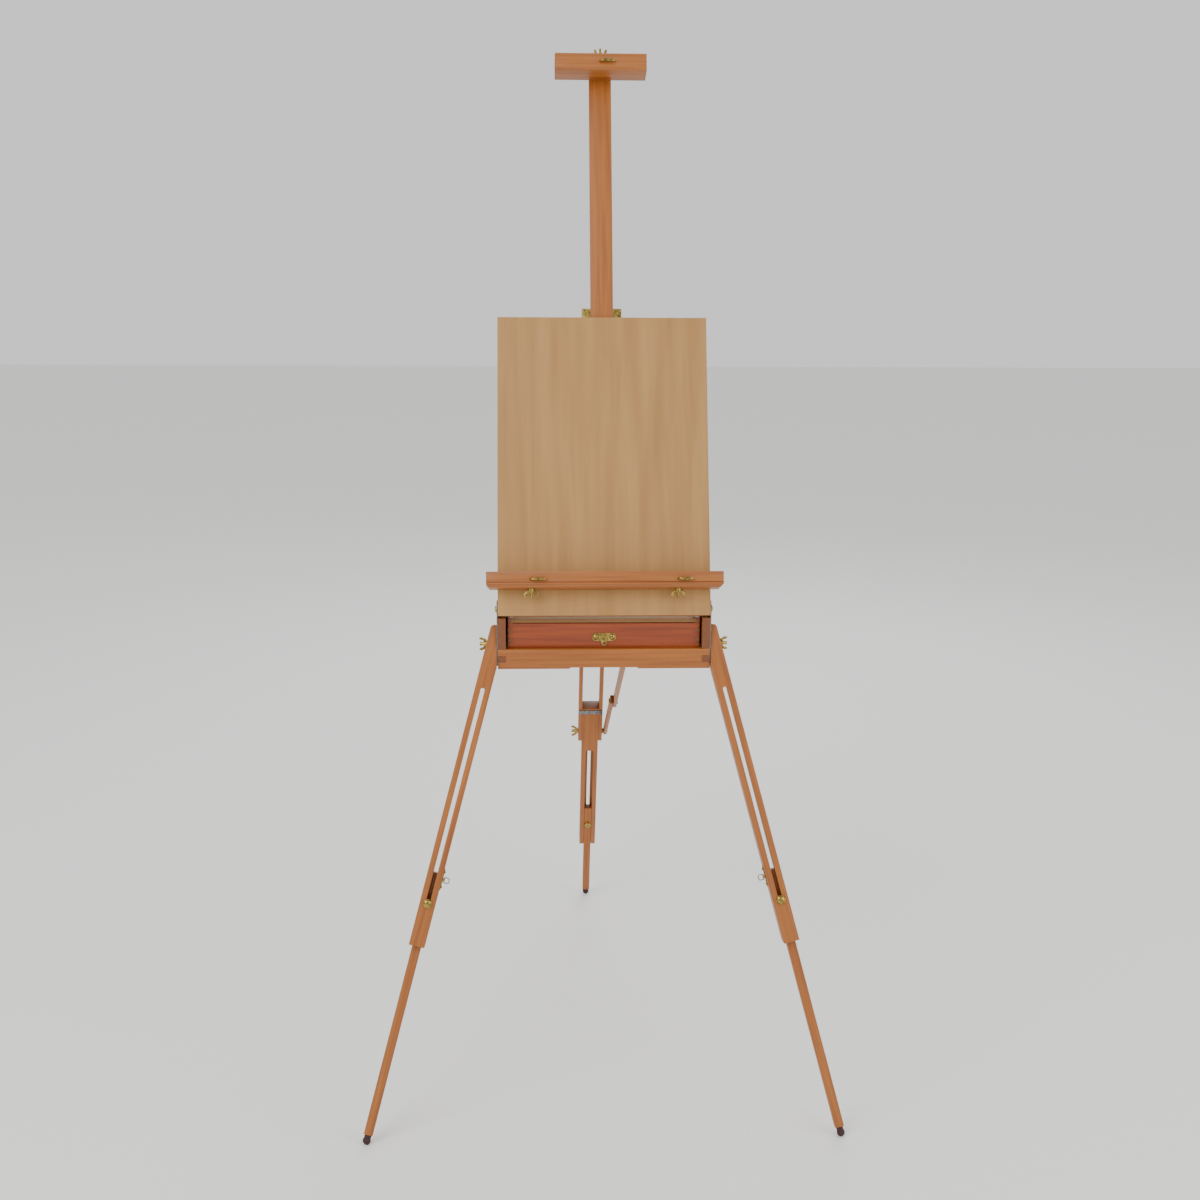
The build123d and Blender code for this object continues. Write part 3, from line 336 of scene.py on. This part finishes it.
def domeMesh(name, radius, height, rim, slotWidth, slotDepth):
    # A lathe-turned head: a short straight rim, then a quarter ellipse up to the crown.
    steps, sides = 10, 40
    profile = [(radius, 0.0), (radius, rim)]
    for i in range(1, steps):
        angle = math.pi / 2 * i / steps
        profile.append((radius * math.cos(angle), rim + (height - rim) * math.sin(angle)))
    bm = bmesh.new()
    rings = []
    for r, h in profile:
        turns = [2 * math.pi * k / sides for k in range(sides)]
        rings.append([bm.verts.new((r * math.cos(turn), r * math.sin(turn), h)) for turn in turns])
    for lower, upper in zip(rings, rings[1:]):
        for k in range(sides):
            bm.faces.new((lower[k], lower[(k + 1) % sides], upper[(k + 1) % sides], upper[k]))
    crown = bm.verts.new((0, 0, height))
    for k in range(sides):
        bm.faces.new((rings[-1][k], rings[-1][(k + 1) % sides], crown))
    bm.faces.new(list(reversed(rings[0])))
    piece = addPiece(name, bm)
    if slotWidth:
        # The cutter runs a little past the head on both sides, and as far above the crown as below it.
        size = Matrix.Diagonal((2.4 * radius, slotWidth, 2 * slotDepth, 1))
        tool = bmesh.new()
        bmesh.ops.create_cube(tool, size=1.0, matrix=Matrix.Translation((0, 0, height)) @ size)
        cutAway(piece, tool)
    return piece


def head(name, body, place, outward, radius, height, rim=0.4, slotWidth=0.0, slotDepth=0.0, spin=0.0):
    piece = domeMesh(name, radius * mm, height * mm, rim * mm, slotWidth * mm, slotDepth * mm)
    turn = Vector(outward).to_track_quat("Z", "Y").to_matrix().to_4x4()
    slotTurn = Matrix.Rotation(math.radians(spin), 4, "Z")
    piece.data.transform(Matrix.Translation(Vector(place)) @ turn @ slotTurn)
    smoothPiece(piece)
    piece.data.materials.append(brass)
    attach(piece, body)


# The bright cups on the clamp bolts, standing on their washers.
cup = {"radius": 6.6, "height": 3.7, "lift": 1.6}
for side, nutJoint in (("left", "left_leg_nut_turn"), ("right", "right_leg_nut_turn"),
                       ("rear", "rear_nut_turn")):
    joint = joints[nutJoint]
    outward = -Vector(joint["axis"]).normalized()
    head(f"{side}LegCup", f"{side}_lower_leg", Vector(joint["pos_m"]) + outward * cup["lift"] * mm, outward,
         cup["radius"], cup["height"])

# The catch is stamped from sheet: a plate with two round ends, and a tapered tongue with a finger hole.
catch = {"plateLength": 38.0, "plateHeight": 13.5, "plateThick": 1.2, "gap": 0.2, "tongueThick": 1.8,
         "tongueTop": 6.2, "tongueTip": 3.8, "tongueDrop": 10.0, "hole": 1.7,
         "drillReach": 12.0, "edge": 0.35}
rimAngle = math.radians(60)

# Slotted screws: two on the drawer catch, one on each lid pivot, one on the lower end of the brace.
screw = {"catchSpacing": 13.0, "catchRadius": 4.6, "catchHeight": 3.3, "pivotRadius": 5.3, "pivotHeight": 3.0,
         "pivotSpin": 15, "braceSpin": 60, "braceRadius": 4.0, "braceHeight": 2.4,
         "slotWidth": 0.9, "slotDepth": 1.0}
slotCut = {"slotWidth": screw["slotWidth"], "slotDepth": screw["slotDepth"]}
plateLow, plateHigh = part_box("latch_plate")
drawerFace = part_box("drawer_front")[0].y
plateFace = drawerFace - catch["plateThick"] * mm
plateMiddle = (plateLow.z + plateHigh.z) / 2
for side, sign, spin in (("Left", -1, 25), ("Right", 1, -40)):
    place = (sign * screw["catchSpacing"] * mm, plateFace, plateMiddle)
    head(f"catchScrew{side}", "drawer", place, (0, -1, 0), screw["catchRadius"], screw["catchHeight"],
         spin=spin, **slotCut)



def twoCircleOutline(first, second, firstRadius, secondRadius, steps=20):
    # The belt line round two circles, as a stamping tool cuts it.
    span = Vector(second) - Vector(first)
    heading = math.atan2(span.y, span.x)
    lean = math.acos((firstRadius - secondRadius) / span.length)
    points = []
    for centre, radius, start, stop in ((second, secondRadius, heading - lean, heading + lean),
                                        (first, firstRadius, heading + lean, heading - lean + 2 * math.pi)):
        for i in range(steps + 1):
            angle = start + (stop - start) * i / steps
            points.append((centre[0] + radius * math.cos(angle), centre[1] + radius * math.sin(angle)))
    return points


def stampedPlate(name, outline, face, middleZ, thick):
    bm = bmesh.new()
    bm.faces.new([bm.verts.new((x * mm, face, middleZ + z * mm)) for x, z in outline])
    sheet = bmesh.ops.extrude_face_region(bm, geom=list(bm.faces))
    bmesh.ops.translate(bm, verts=[v for v in sheet["geom"] if isinstance(v, bmesh.types.BMVert)],
                        vec=(0, -thick * mm, 0))
    bmesh.ops.recalc_face_normals(bm, faces=bm.faces)
    roundEdges(bm, [e for e in bm.edges if e.calc_face_angle(0) > rimAngle], catch["edge"])
    return addPiece(name, bm)


def finishStamping(piece, body, node):
    smoothPiece(piece)
    piece.data.materials.clear()
    piece.data.materials.append(brass)
    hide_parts(node)
    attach(piece, body)


endRadius = catch["plateHeight"] / 2
endPlace = catch["plateLength"] / 2 - endRadius
plate = stampedPlate("catchPlate", twoCircleOutline((-endPlace, 0), (endPlace, 0), endRadius, endRadius),
                     drawerFace, plateMiddle, catch["plateThick"])
finishStamping(plate, "drawer", "latch_plate")
tongueFace = drawerFace - (catch["plateThick"] + catch["gap"]) * mm
tongue = stampedPlate("catchTongue", twoCircleOutline((0, 0), (0, -catch["tongueDrop"]), catch["tongueTop"],
                                                      catch["tongueTip"]),
                      tongueFace, plateMiddle, catch["tongueThick"])
drill = bmesh.new()
holePlace = Matrix.Translation((0, tongueFace, plateMiddle - catch["tongueDrop"] * mm))
bmesh.ops.create_cone(drill, cap_ends=True, segments=32, radius1=catch["hole"] * mm,
                      radius2=catch["hole"] * mm, depth=catch["drillReach"] * mm,
                      matrix=holePlace @ Matrix.Rotation(math.pi / 2, 4, "X"))
cutAway(tongue, drill)
finishStamping(tongue, "latch_tongue", "latch_tongue")

strapLow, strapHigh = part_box("lid_hinge_straps")
pivot = joints["lid_tilt"]["pos_m"]
for side, face, sign in (("Left", strapLow.x, -1), ("Right", strapHigh.x, 1)):
    head(f"lidPivotScrew{side}", "box", (face, pivot[1], pivot[2]), (sign, 0, 0), screw["pivotRadius"],
         screw["pivotHeight"], spin=screw["pivotSpin"] * sign, **slotCut)
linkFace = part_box("brace_lower_link")[1].x
boltPlace = joints["rear_leg_fold"]["pos_m"]
head("braceEndScrew", "brace_lower", (linkFace, boltPlace[1], boltPlace[2]), (1, 0, 0), screw["braceRadius"],
     screw["braceHeight"], spin=screw["braceSpin"], **slotCut)
print("heads and screws made")

# ---- floor, light and camera ----
floorMesh = bpy.data.meshes.new("studioFloor")
reach = 12.0  # metres
floorMesh.from_pydata([(-reach, -reach, 0), (reach, -reach, 0), (reach, reach, 0), (-reach, reach, 0)], [],
                      [(0, 1, 2, 3)])
floor = bpy.data.objects.new("studioFloor", floorMesh)
bpy.context.collection.objects.link(floor)
floorPaint, _, floorShader = startMaterial("paleFloor")
floorShader.inputs["Base Color"].default_value = linear("#F0F0EE")
floorShader.inputs["Roughness"].default_value = 0.9
floorMesh.materials.append(floorPaint)

world = bpy.data.worlds.new("studio")
bpy.context.scene.world = world
world.use_nodes = True
world.node_tree.nodes["Background"].inputs["Color"].default_value = linear("#F6F6F6")
world.node_tree.nodes["Background"].inputs["Strength"].default_value = 1.0

middle = Vector((0, 0, (cadBox[0].z + cadBox[1].z) / 2))
lamps = {"key": {"place": (-2.2, -2.6, 3.2), "size": 2.4, "power": 80},
         "fill": {"place": (2.6, -2.2, 2.0), "size": 2.8, "power": 42},
         "rim": {"place": (0.6, 2.6, 2.8), "size": 2.0, "power": 40}}
for name, settings in lamps.items():
    light = bpy.data.lights.new(name, "AREA")
    light.size = settings["size"]
    light.energy = settings["power"]
    lamp = bpy.data.objects.new(name, light)
    lamp.location = settings["place"]
    lamp.rotation_euler = (middle - lamp.location).to_track_quat("-Z", "Y").to_euler()
    bpy.context.collection.objects.link(lamp)

# The camera stands a little left of the easel, above it, looking slightly down.
view = {"left": -0.1134, "before": -2.4146, "height": 1.4425, "yaw": -2.52, "pitch": -13.95, "roll": 0.42,
        "lens": 47.73, "sensor": 36.0}
cameraData = bpy.data.cameras.new("studioCamera")
cameraData.lens = view["lens"]
cameraData.sensor_width = view["sensor"]
camera = bpy.data.objects.new("studioCamera", cameraData)
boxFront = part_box("box_sides")[0].y
turn = (Matrix.Rotation(math.radians(view["yaw"]), 4, "Z")
        @ Matrix.Rotation(math.radians(90 + view["pitch"]), 4, "X")
        @ Matrix.Rotation(math.radians(view["roll"]), 4, "Z"))
camera.matrix_world = Matrix.Translation((view["left"], boxFront + view["before"], view["height"])) @ turn
bpy.context.collection.objects.link(camera)
bpy.context.scene.camera = camera
print("stage ready")
